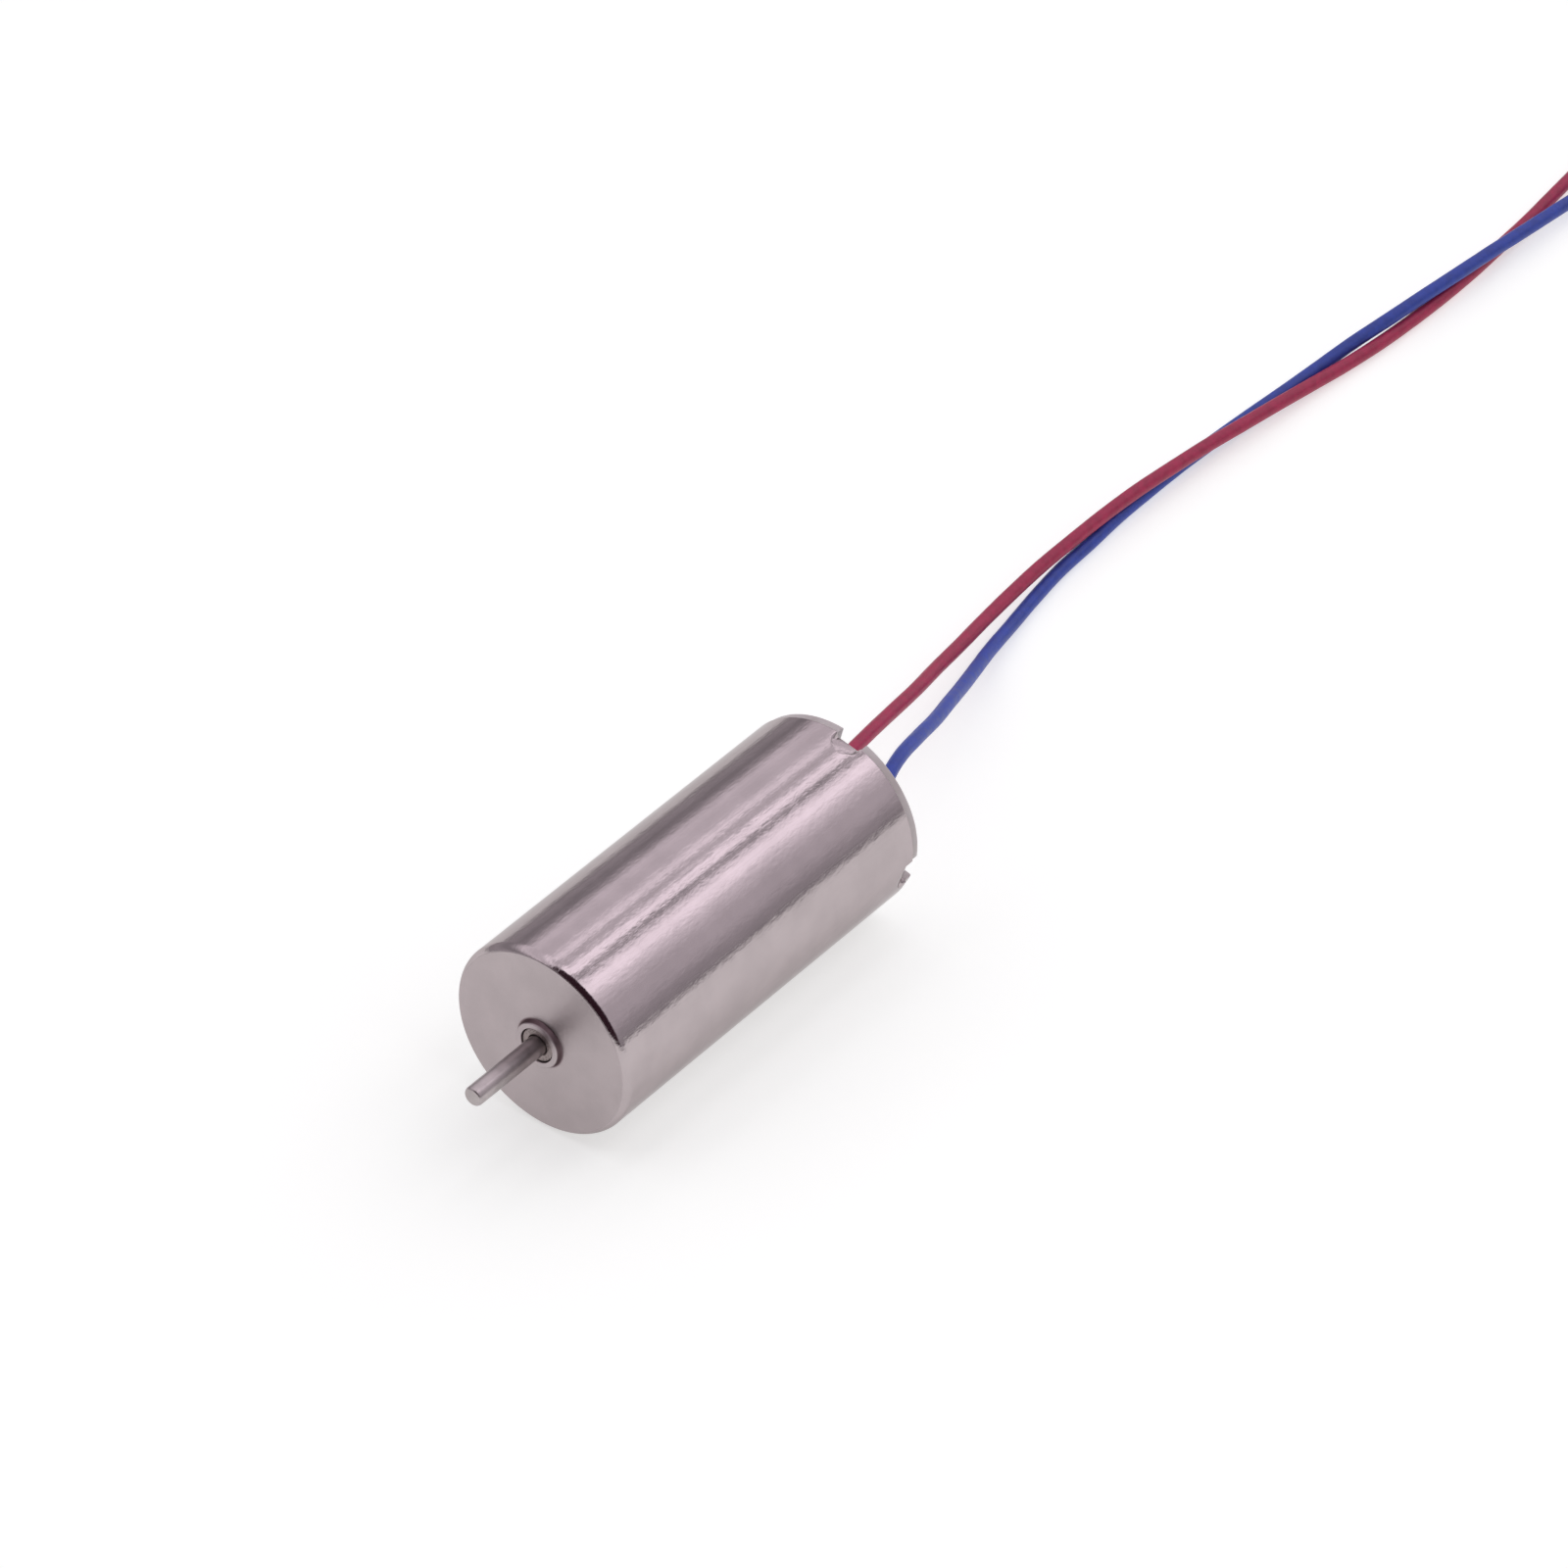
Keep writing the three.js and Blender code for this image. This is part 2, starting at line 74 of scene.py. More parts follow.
BLUE_ROUTE = [
    (0.00178, 0.02295, 0.00101), (0.00133, 0.0241, 0.00105), (0.00082, 0.0256, 0.00087),
    (0.00007, 0.02795, 0.00017), (-0.00075, 0.0303, -0.00072), (-0.0017, 0.03265, -0.00162),
    (-0.00265, 0.03495, -0.00255), (-0.0036, 0.0373, -0.00338), (-0.00448, 0.0397, -0.00405),
    (-0.00515, 0.04225, -0.00448), (-0.00568, 0.04485, -0.00462), (-0.00605, 0.0475, -0.00464),
    (-0.0062, 0.05015, -0.00464), (-0.0064, 0.05285, -0.00464), (-0.00645, 0.0555, -0.00464),
    (-0.00645, 0.05815, -0.00464), (-0.00635, 0.06085, -0.00464), (-0.0062, 0.0635, -0.00464),
    (-0.00602, 0.06615, -0.00464), (-0.0058, 0.0688, -0.00456), (-0.00545, 0.07145, -0.0043),
    (-0.00495, 0.07405, -0.004), (-0.00462, 0.07665, -0.00388), (-0.00435, 0.07935, -0.00387),
    (-0.00415, 0.082, -0.00392), (-0.00397, 0.08465, -0.00405), (-0.00385, 0.0873, -0.00422),
    (-0.00375, 0.08995, -0.00442), (-0.00365, 0.0926, -0.00458),
]
LEAD_RADIUS = 0.35 * MM
CORE_RADIUS = 0.15 * MM
RED = (0.37, 0.026, 0.08)
BLUE = (0.031, 0.062, 0.35)


# Camera


def make_camera():
    camera = bpy.data.objects.new("camera", bpy.data.cameras.new("camera"))
    bpy.context.scene.collection.objects.link(camera)
    camera.data.lens = CAMERA_LENS
    camera.data.sensor_width = 36
    camera.location = CAMERA_PLACE
    camera.rotation_euler = CAMERA_LOOK.to_track_quat("-Z", "Y").to_euler()
    bpy.context.scene.camera = camera


# Mesh making


def smoothstep(low, high, value):
    t = min(max((value - low) / (high - low), 0), 1)
    return t * t * (3 - 2 * t)


def add_mesh(name, vertices, faces, crease=32):
    """A new object from plain lists, shaded smooth but for edges sharper than the crease angle."""
    mesh = bpy.data.meshes.new(name)
    mesh.from_pydata([tuple(v) for v in vertices], [], faces)
    tidy = bmesh.new()
    tidy.from_mesh(mesh)
    bmesh.ops.remove_doubles(tidy, verts=tidy.verts, dist=1e-8)
    bmesh.ops.recalc_face_normals(tidy, faces=tidy.faces)
    tidy.to_mesh(mesh)
    tidy.free()
    mesh.shade_smooth()
    mesh.set_sharp_from_angle(angle=math.radians(crease))
    piece = bpy.data.objects.new(name, mesh)
    bpy.context.scene.collection.objects.link(piece)
    return piece


def finish_piece(piece, body, slot, material, *replaced):
    piece.data.materials.clear()
    piece.data.materials.append(material)
    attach(piece, body)
    if replaced:
        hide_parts(*replaced)
    return piece


def rounded(corners, steps=5):
    """An outline from (radius, y, rounding) corners, with an arc at each corner that has a rounding."""
    outline = []
    count = len(corners)
    for i, (r, y, rounding) in enumerate(corners):
        here = Vector((r, y))
        if rounding == 0:
            outline.append((r, y))
            continue
        before = (Vector(corners[(i - 1) % count][:2]) - here).normalized()
        after = (Vector(corners[(i + 1) % count][:2]) - here).normalized()
        half = before.angle(after) / 2
        reach = rounding / math.tan(half)
        centre = here + (before + after).normalized() * (rounding / math.sin(half))
        start = here + before * reach - centre
        end = here + after * reach - centre
        sweep = start.angle_signed(end)
        for k in range(steps + 1):
            turn = -sweep * k / steps
            arm = Vector((
                start.x * math.cos(turn) - start.y * math.sin(turn),
                start.x * math.sin(turn) + start.y * math.cos(turn),
            ))
            outline.append(tuple(centre + arm))
    return outline


def lathe(name, outline, segments, closed=True, shape=None, crease=32):
    """Turns an outline of (radius, y) points about Y. An open outline starts and ends on the axis."""
    vertices = []
    faces = []
    for r, y in outline:
        for i in range(segments):
            angle = 2 * math.pi * i / segments
            point = Vector((r * math.cos(angle), y, r * math.sin(angle)))
            vertices.append(shape(point, angle) if shape else point)
    rows = len(outline)
    for k in range(rows if closed else rows - 1):
        upper = (k + 1) % rows
        for i in range(segments):
            j = (i + 1) % segments
            faces.append((k * segments + i, k * segments + j, upper * segments + j, upper * segments + i))
    return add_mesh(name, vertices, faces, crease)


def collar(name, inner, outer, low, high, rounding, segments=96):
    """A plain ring with rounded edges."""
    places = [(inner, low), (outer, low), (outer, high), (inner, high)]
    corners = [(r, y, rounding) for r, y in places]
    return lathe(name, rounded(corners, 3), segments)


def ring_radii(node):
    """The inner and outer radius and the two ends of a CAD ring about the Y axis."""
    low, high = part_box(node)
    radii = [math.hypot(v.co.x, v.co.z) for v in NODES[node].data.vertices]
    return min(radii), max(radii), low.y, high.y


def apply_modifiers(piece):
    graph = bpy.context.evaluated_depsgraph_get()
    mesh = bpy.data.meshes.new_from_object(piece.evaluated_get(graph))
    piece.modifiers.clear()
    piece.data = mesh


def box_cutter(name, size, centre, angle):
    """A box whose first side points along the given angle about the Y axis."""
    tool = bpy.data.objects.new(name, bpy.data.meshes.new(name))
    shape = bmesh.new()
    bmesh.ops.create_cube(shape, size=1)
    turn = math.radians(angle)
    for vert in shape.verts:
        x, y, z = (c + k * s for c, k, s in zip(centre, vert.co, size))
        vert.co = (x * math.cos(turn) - z * math.sin(turn), y, x * math.sin(turn) + z * math.cos(turn))
    bmesh.ops.recalc_face_normals(shape, faces=shape.faces)
    shape.to_mesh(tool.data)
    shape.free()
    bpy.context.scene.collection.objects.link(tool)
    return tool


def cut(piece, tools):
    for tool in tools:
        modifier = piece.modifiers.new("cut", "BOOLEAN")
        modifier.operation = "DIFFERENCE"
        modifier.solver = "EXACT"
        modifier.object = tool
    apply_modifiers(piece)
    for tool in tools:
        bpy.data.objects.remove(tool)


# Curves and tubes


def centripetal(route, per_span):
    """Points on the centripetal Catmull-Rom curve through the route."""
    points = [Vector(p) for p in route]
    points = [2 * points[0] - points[1], *points, 2 * points[-1] - points[-2]]
    curve = []
    for p0, p1, p2, p3 in zip(points, points[1:], points[2:], points[3:]):
        a, b, c = ((q - p).length ** 0.5 for p, q in ((p0, p1), (p1, p2), (p2, p3)))
        leave = ((p1 - p0) / a - (p2 - p0) / (a + b) + (p2 - p1) / b) * b
        arrive = ((p2 - p1) / b - (p3 - p1) / (b + c) + (p3 - p2) / c) * b
        for k in range(per_span):
            t = k / per_span
            curve.append(
                p1 * (2 * t**3 - 3 * t**2 + 1)
                + leave * (t**3 - 2 * t**2 + t)
                + p2 * (3 * t**2 - 2 * t**3)
                + arrive * (t**3 - t**2)
            )
    curve.append(points[-2])
    return curve


def frames_along(path):
    """A pair of directions across the path at each of its points, turning as little as they can."""
    side = Vector((0, 0, 1))
    pairs = []
    for i in range(len(path)):
        ahead = (path[min(i + 1, len(path) - 1)] - path[max(i - 1, 0)]).normalized()
        side = (side - ahead * side.dot(ahead)).normalized()
        pairs.append((side.copy(), ahead.cross(side)))
    return pairs


def tube(name, path, radius_at, sides, crease=40):
    """A closed tube about a path. radius_at(index, angle) gives its radius."""
    vertices = []
    faces = []
    pairs = frames_along(path)
    for i, (point, (u, v)) in enumerate(zip(path, pairs)):
        for k in range(sides):
            angle = 2 * math.pi * k / sides
            vertices.append(point + (u * math.cos(angle) + v * math.sin(angle)) * radius_at(i, angle))
    for i in range(len(path) - 1):
        for k in range(sides):
            m = (k + 1) % sides
            faces.append((i * sides + k, i * sides + m, (i + 1) * sides + m, (i + 1) * sides + k))
    faces.append(tuple(range(sides)))
    faces.append(tuple(range((len(path) - 1) * sides, len(path) * sides)))
    return add_mesh(name, vertices, faces, crease)


# Materials


class Nodes:
    """A node tree, with short names for the nodes that the materials and the studio share."""

    def __init__(self, tree):
        self.tree = tree

    def link(self, output, socket):
        self.tree.links.new(output, socket)

    def remap(self, value, low, high, to_low, to_high):
        node = self.tree.nodes.new("ShaderNodeMapRange")
        node.interpolation_type = "SMOOTHSTEP"
        self.link(value, node.inputs["Value"])
        limits = {"From Min": low, "From Max": high, "To Min": to_low, "To Max": to_high}
        for socket, number in limits.items():
            node.inputs[socket].default_value = number
        return node.outputs["Result"]

    def calculate(self, operation, first, second):
        node = self.tree.nodes.new("ShaderNodeMath")
        node.operation = operation
        for value, socket in zip((first, second), node.inputs):
            if isinstance(value, (int, float)):
                socket.default_value = value
            else:
                self.link(value, socket)
        return node.outputs["Value"]

    def multiply(self, first, second):
        return self.calculate("MULTIPLY", first, second)

    def add(self, first, second):
        return self.calculate("ADD", first, second)

    def length(self, first, second):
        squares = self.add(self.multiply(first, first), self.multiply(second, second))
        return self.calculate("POWER", squares, 0.5)

    def parts(self, vector):
        node = self.tree.nodes.new("ShaderNodeSeparateXYZ")
        self.link(vector, node.inputs["Vector"])
        return node.outputs

    def scale(self, vector, factor):
        """A vector or colour times a factor, which is a number or an output."""
        node = self.tree.nodes.new("ShaderNodeVectorMath")
        node.operation = "SCALE"
        self.link(vector, node.inputs[0])
        if isinstance(factor, (int, float)):
            node.inputs["Scale"].default_value = factor
        else:
            self.link(factor, node.inputs["Scale"])
        return node.outputs["Vector"]

    def mix(self, factor, start, end):
        """From one colour to another. Each is an output or a plain (red, green, blue)."""
        node = self.tree.nodes.new("ShaderNodeMix")
        node.data_type = "RGBA"
        self.link(factor, node.inputs["Factor"])
        for socket, colour in (("A", start), ("B", end)):
            if isinstance(colour, tuple):
                node.inputs[socket].default_value = (*colour, 1)
            else:
                self.link(colour, node.inputs[socket])
        return node.outputs["Result"]


class Paint(Nodes):
    """A material's node tree."""

    def __init__(self, name, base, roughness, metallic=0.0, specular=0.5):
        self.material = bpy.data.materials.new(name)
        self.material.use_nodes = True
        super().__init__(self.material.node_tree)
        self.shader = self.tree.nodes["Principled BSDF"]
        self.set("Base Color", (*base, 1))
        self.set("Roughness", roughness)
        self.set("Metallic", metallic)
        self.set("Specular IOR Level", specular)
        self.coordinate = self.tree.nodes.new("ShaderNodeTexCoord").outputs["Object"]
        self.base = base
        self.height = None

    def set(self, socket, value):
        self.shader.inputs[socket].default_value = value

    def stretched(self, scale):
        mapping = self.tree.nodes.new("ShaderNodeMapping")
        mapping.inputs["Scale"].default_value = scale
        self.link(self.coordinate, mapping.inputs["Vector"])
        return mapping.outputs["Vector"]

    def noise(self, scale, detail=3.0, roughness=0.55, vector=None):
        node = self.tree.nodes.new("ShaderNodeTexNoise")
        node.inputs["Scale"].default_value = scale
        node.inputs["Detail"].default_value = detail
        node.inputs["Roughness"].default_value = roughness
        self.link(vector or self.coordinate, node.inputs["Vector"])
        return node.outputs["Fac"]

    def cells(self, scale):
        node = self.tree.nodes.new("ShaderNodeTexVoronoi")
        node.inputs["Scale"].default_value = scale
        self.link(self.coordinate, node.inputs["Vector"])
        return node.outputs["Distance"]

    def waves(self, scale, axis, distortion, vector):
        node = self.tree.nodes.new("ShaderNodeTexWave")
        node.bands_direction = axis
        node.inputs["Scale"].default_value = scale
        node.inputs["Distortion"].default_value = distortion
        self.link(vector, node.inputs["Vector"])
        return node.outputs["Fac"]

    def tint(self, factor, start, end, shade=None):
        """Colours the surface from start to end by the factor, and multiplies it by a shade if given."""
        colour = self.mix(factor, start, end)
        if shade:
            colour = self.scale(colour, shade)
        self.link(colour, self.shader.inputs["Base Color"])

    def gloss(self, factor, smooth, rough):
        self.link(self.remap(factor, 0.3, 0.7, smooth, rough), self.shader.inputs["Roughness"])

    def bump(self, height, depth):
        """Adds relief of the given depth, in metres, over what is there already."""
        node = self.tree.nodes.new("ShaderNodeBump")
        node.inputs["Strength"].default_value = 1
        node.inputs["Distance"].default_value = depth
        self.link(height, node.inputs["Height"])
        if self.height:
            self.link(self.height, node.inputs["Normal"])
        self.height = node.outputs["Normal"]
        self.link(self.height, self.shader.inputs["Normal"])


def scaled(colour, factor):
    return tuple(c * factor for c in colour)


def nickel_can():
    """Drawn and plated sheet. Faint lines run along the axis over an orange peel. The end face is duller
    than the wall, and a dark ring of painted shade sits round the foot of the collar."""
    paint = Paint("nickel_can", (0.47, 0.41, 0.42), 0.12, metallic=1)
    paint.set("Specular Tint", (0.72, 0.7, 0.7, 1))
    fine = paint.noise(1, 4, 0.6, paint.stretched((14000, 260, 14000)))
    lines = paint.noise(1, 3, 0.5, paint.stretched((4200, 110, 4200)))
    peel = paint.noise(1, 3, 0.5, paint.stretched((2100, 1300, 2100)))
    beads = paint.noise(1, 2, 0.5, paint.stretched((5200, 2600, 5200)))
    patches = paint.remap(paint.noise(420, 3), 0.3, 0.7, 0.95, 1.04)
    place = paint.parts(paint.coordinate)
    across = paint.length(place["X"], place["Z"])
    face = paint.remap(place["Y"], 0.01 * MM, 0.05 * MM, 1, 0)
    # Painted shade: a dark ring on the end face round the foot of the collar, darkening the base colour
    # where the collar meets the face.
    ring = paint.multiply(
        paint.remap(across, 1.17 * MM, 1.2 * MM, 0, 1),
        paint.remap(across, 1.26 * MM, 1.36 * MM, 1, 0),
    )
    painted_collar_shade = paint.multiply(ring, face)
    paint.tint(painted_collar_shade, paint.base, (0.17, 0.12, 0.13), shade=patches)
    rough = paint.add(paint.remap(fine, 0.3, 0.7, 0.1, 0.18), paint.multiply(face, 0.26))
    paint.link(rough, paint.shader.inputs["Roughness"])
    paint.bump(peel, 0.008 * MM)
    paint.bump(lines, 0.003 * MM)
    paint.bump(beads, 0.0065 * MM)
    paint.bump(fine, 0.0008 * MM)
    return paint.material


def ground_steel():
    """Centreless-ground bar: very fine rings about the axis."""
    paint = Paint("ground_steel", (0.45, 0.405, 0.405), 0.34, metallic=1)
    rings = paint.noise(1, 4, 0.6, paint.stretched((700, 22000, 700)))
    cloud = paint.remap(paint.noise(900, 3), 0.35, 0.7, 0, 1)
    paint.tint(cloud, scaled(paint.base, 0.86), scaled(paint.base, 1.08))
    paint.gloss(rings, 0.28, 0.42)
    paint.bump(rings, 0.001 * MM)
    return paint.material


def sintered_bronze():
    """Pressed powder: small dark pores in a dull oily ground."""
    paint = Paint("sintered_bronze", (0.3, 0.25, 0.245), 0.45, metallic=1)
    pores = paint.remap(paint.cells(9000), 0.12, 0.4, 0, 1)
    paint.tint(pores, scaled(paint.base, 0.45), paint.base)
    paint.gloss(paint.noise(5000, 3), 0.34, 0.52)
    paint.bump(pores, 0.012 * MM)
    return paint.material


def brass_strip(name="brass_strip", base=(0.62, 0.47, 0.22)):
    paint = Paint(name, base, 0.3, metallic=1)
    grain = paint.noise(1, 4, 0.6, paint.stretched((900, 16000, 900)))
    paint.tint(paint.remap(paint.noise(1100, 4), 0.35, 0.7, 0, 1), scaled(base, 0.82), scaled(base, 1.06))
    paint.gloss(grain, 0.22, 0.38)
    paint.bump(grain, 0.0015 * MM)
    return paint.material


def plated_magnet():
    paint = Paint("plated_magnet", (0.5, 0.5, 0.5), 0.32, metallic=1)
    grain = paint.noise(5200, 4, 0.65)
    paint.tint(paint.remap(paint.noise(600, 3), 0.35, 0.7, 0, 1), (0.4, 0.4, 0.41), (0.55, 0.55, 0.54))
    paint.gloss(grain, 0.26, 0.42)
    paint.bump(grain, 0.004 * MM)
    return paint.material


def enamelled_winding():
    """Skewed turns of fine enamelled wire."""
    paint = Paint("enamelled_winding", (0.5, 0.17, 0.06), 0.3, metallic=0.85)
    turns = paint.waves(1, "DIAGONAL", 0.4, paint.stretched((2600, 1700, 2600)))
    strands = paint.remap(turns, 0.1, 0.9, 0, 1)
    paint.tint(strands, (0.24, 0.07, 0.025), (0.6, 0.22, 0.08))
    paint.gloss(paint.noise(2400, 3), 0.22, 0.4)
    paint.bump(strands, 0.02 * MM)
    return paint.material


def cap_plastic():
    """Moulded ivory plastic with a spark-eroded skin, very slightly yellowed in patches."""
    paint = Paint("cap_plastic", (0.5, 0.46, 0.45), 0.36)
    skin = paint.noise(14000, 3, 0.6)
    paint.tint(paint.remap(paint.noise(700, 3), 0.3, 0.7, 0, 1), (0.46, 0.415, 0.405), (0.54, 0.505, 0.5))
    paint.gloss(skin, 0.28, 0.44)
    paint.bump(skin, 0.004 * MM)
    return paint.material


def rotor_plastic():
    paint = Paint("rotor_plastic", (0.03, 0.026, 0.024), 0.45)
    skin = paint.noise(9000, 3, 0.6)
    paint.tint(paint.noise(1500, 3), (0.02, 0.018, 0.016), (0.05, 0.042, 0.038))
    paint.gloss(skin, 0.38, 0.55)
    paint.bump(skin, 0.005 * MM)
    return paint.material


def washer_film():
    paint = Paint("washer_film", (0.5, 0.28, 0.06), 0.3)
    cloud = paint.noise(2500, 3)
    paint.tint(cloud, (0.38, 0.19, 0.035), (0.6, 0.36, 0.1))
    paint.gloss(cloud, 0.24, 0.4)
    paint.bump(paint.noise(9000, 3), 0.003 * MM)
    return paint.material


def solder_metal():
    """Frozen solder: bright, softly dimpled, a little grey where the flux dried."""
    paint = Paint("solder_metal", (0.6, 0.6, 0.6), 0.2, metallic=1)
    cloud = paint.noise(2600, 4)
    paint.tint(paint.remap(cloud, 0.35, 0.7, 0, 1), (0.45, 0.44, 0.42), (0.68, 0.68, 0.68))
    paint.gloss(cloud, 0.13, 0.36)
    paint.bump(paint.noise(3800, 2), 0.02 * MM)
    return paint.material


def insulation(name, base):
    """Extruded PVC: a satin skin with faint lines along the wire and small scuffs."""
    paint = Paint(name, base, 0.42, specular=0.3)
    cloud = paint.noise(1900, 4, 0.6)
    paint.tint(paint.remap(cloud, 0.3, 0.7, 0, 1), scaled(base, 0.84), scaled(base, 1.12))
    paint.gloss(cloud, 0.34, 0.5)
    paint.bump(paint.noise(1, 3, 0.5, paint.stretched((9000, 900, 9000))), 0.006 * MM)
    return paint.material


# Leads


def make_lead(colour, route, base):
    path = centripetal(route, 10)

    def skin(i, angle):
        slow = noise.noise(path[i] * 900) * 0.012
        quick = noise.noise(path[i] * 2600 + Vector((angle, 0, 0))) * 0.006
        at_end = i in (0, len(path) - 1)
        return LEAD_RADIUS * (1 + (slow + quick)) * (0.93 if at_end else 1)

    lead = tube(f"{colour}_lead", path, skin, 24)
    slot = f"insulation_{colour}"
    finish_piece(lead, "stator", slot, insulation(slot, base), f"lead_{colour}")
    tip = make_lead_tip(colour, path)


def make_lead_tip(colour, path):
    """The stripped end: seven strands twisted together and tinned."""
    ahead = (path[-1] - path[-2]).normalized()
    length = 3 * MM
    overlap = 0.3 * MM
    steps = 40
    line = [path[-1] + ahead * (length * k / steps - overlap * (1 - k / steps)) for k in range(steps + 1)]

    def strands(i, angle):
        lobe = abs(math.cos(3 * angle + i * 0.22))
        taper = 1 - 0.75 * smoothstep(steps - 3, steps, i) ** 2
        return CORE_RADIUS * (0.86 + 0.14 * lobe) * taper

    tip = tube(f"{colour}_lead_tip", line, strands, 36, crease=60)
    return finish_piece(tip, "stator", "tinned_metal", TINNED, f"lead_tip_{colour}")


# Housing


CAN_LOW, CAN_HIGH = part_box("can_housing")
CAN_RADIUS = CAN_HIGH.x
CAN_WALL = 0.35 * MM
CAN_RIM = 21.1 * MM
FRONT_WALL = 0.4 * MM
FRONT_ROUNDING = 0.55 * MM
FRONT_EDGE_START = math.radians(30)
COLLAR_RADIUS = 1.21 * MM
SEAT_RADIUS = 0.9 * MM
CRIMP_START = 20 * MM
CRIMP_DEPTH = 0.27 * MM
CRIMP_HALF_ANGLE = 7.6
CRIMP_TILT = 0.15
TERMINAL_DISTANCE = 2.05 * MM


def crimp(point, angle):
    """Presses the can's wall inwards where its rim is staked. Each dent widens from a point to its full
    width, between steep sides, and turns the rim's end face a little."""
    radius = math.hypot(point.x, point.z)
    along = (point.y - CRIMP_START) / (CAN_RIM - CRIMP_START)
    if along <= 0 or radius < CAN_RADIUS - 1.2 * CAN_WALL:
        return point
    off = min(abs((math.degrees(angle) - a + 180) % 360 - 180) for a in CRIMP_ANGLES)
    half = CRIMP_HALF_ANGLE * (0.25 + 0.75 * smoothstep(0, 0.55, along))
    dent = 1 - smoothstep(half - 1, half + 1, off)
    radius_now = radius - CRIMP_DEPTH * dent * along**1.5
    y = point.y - CRIMP_TILT * dent * along * (radius - CAN_RADIUS + CAN_WALL)
    return Vector((radius_now * math.cos(angle), y, radius_now * math.sin(angle)))


def front_edge():
    """The can's front edge: a rounding that meets the flat face at a visible line."""
    middle = CAN_RADIUS - FRONT_ROUNDING
    drop = FRONT_ROUNDING * math.cos(FRONT_EDGE_START)
    points = []
    steps = 14
    for k in range(steps + 1):
        turn = FRONT_EDGE_START + (math.pi / 2 - FRONT_EDGE_START) * k / steps
        points.append((middle + FRONT_ROUNDING * math.sin(turn), drop - FRONT_ROUNDING * math.cos(turn), 0))
    return points


def make_can():
    inner = CAN_RADIUS - CAN_WALL
    edge = 0.06 * MM
    corners = [
        (SEAT_RADIUS, CAN_LOW.y, 0.05 * MM),
        (COLLAR_RADIUS - 0.04 * MM, CAN_LOW.y, 0.07 * MM),
        (COLLAR_RADIUS + 0.04 * MM, 0, 0.04 * MM),
        *front_edge(),
        (CAN_RADIUS, CAN_RIM, edge),
        (inner, CAN_RIM, edge),
        (inner, FRONT_WALL, 0.2 * MM),
        (SEAT_RADIUS, FRONT_WALL, 0),
    ]
    outline = []
    points = rounded(corners, 10)
    for (r0, y0), (r1, y1) in zip(points, points[1:] + points[:1]):
        outline.append((r0, y0))
        if abs(y1 - y0) > 5 * MM:
            rows = [CRIMP_START + (CAN_RIM - edge - CRIMP_START) * k / 18 for k in range(18)]
            for y in rows if y1 > y0 else reversed(rows):
                outline.append((r0, y))
    can = lathe("can_shell", outline, 720, shape=crimp, crease=24)
    finish_piece(can, "stator", "can_nickel", nickel_can(), "can_housing")


def make_cap():
    low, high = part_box("end_cap")
    outer = high.x - 0.04 * MM
    spigot = CAN_RADIUS - CAN_WALL - 0.05 * MM
    inner = spigot - 0.8 * MM
    boss = 1.5 * MM
    boss_front = 19.3 * MM
    base = 20.5 * MM
    rear = high.y
    groove = rear - 0.12 * MM
    dimple = rear - 0.06 * MM
    pocket = 20.8 * MM
    corners = [
        (0, pocket, 0), (SEAT_RADIUS, pocket, 0), (SEAT_RADIUS, boss_front, 0), (boss, boss_front, 0),
        (boss, base, 0), (inner, base, 0), (inner, low.y, 0), (spigot, low.y, 0.1 * MM),
        (spigot, CAN_RIM + 0.02 * MM, 0), (outer, CAN_RIM + 0.02 * MM, 0.04 * MM), (outer, rear, 0.12 * MM),
        (3.85 * MM, rear, 0.05 * MM), (3.75 * MM, groove, 0.04 * MM),
        (3.15 * MM, groove, 0.04 * MM), (3.05 * MM, rear, 0.05 * MM),
        (0.62 * MM, rear, 0.03 * MM), (0.55 * MM, dimple, 0.03 * MM), (0, dimple, 0),
    ]
    cap = lathe("cap_body", rounded(corners, 4), 180, closed=False)
    tools = []
    recess_size = (1.5 * MM, 2 * MM, 1.42 * MM)
    recess_centre = (CAN_RADIUS - 0.17 * MM, 21.2 * MM, 0)
    slot_size = (0.28 * MM, 4 * MM, 1 * MM)
    slot_centre = (TERMINAL_DISTANCE, rear, 0)
    for angle in CRIMP_ANGLES:
        tools.append(box_cutter("recess", recess_size, recess_centre, angle))
    for angle in (TERMINAL_ANGLE, TERMINAL_ANGLE + 180):
        tools.append(box_cutter("slot", slot_size, slot_centre, angle))
    cut(cap, tools)
    edges = cap.modifiers.new("edges", "BEVEL")
    edges.width = 0.03 * MM
    edges.segments = 2
    edges.limit_method = "ANGLE"
    edges.angle_limit = math.radians(50)
    apply_modifiers(cap)
    cap.data.shade_smooth()
    cap.data.set_sharp_from_angle(angle=math.radians(40))
    finish_piece(cap, "stator", "cap_plastic", cap_plastic(), "end_cap")


def make_shaft():
    low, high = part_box("shaft")
    radius = high.x
    corners = [
        (0, low.y, 0), (radius - 0.05 * MM, low.y, 0.1 * MM), (radius, low.y + 0.16 * MM, 0.09 * MM),
        (radius, high.y - 0.08 * MM, 0.02 * MM), (radius - 0.08 * MM, high.y, 0.02 * MM), (0, high.y, 0),
    ]
    shaft = lathe("output_shaft", rounded(corners, 6), 120, closed=False)
    finish_piece(shaft, "rotor", "shaft_steel", ground_steel(), "shaft")


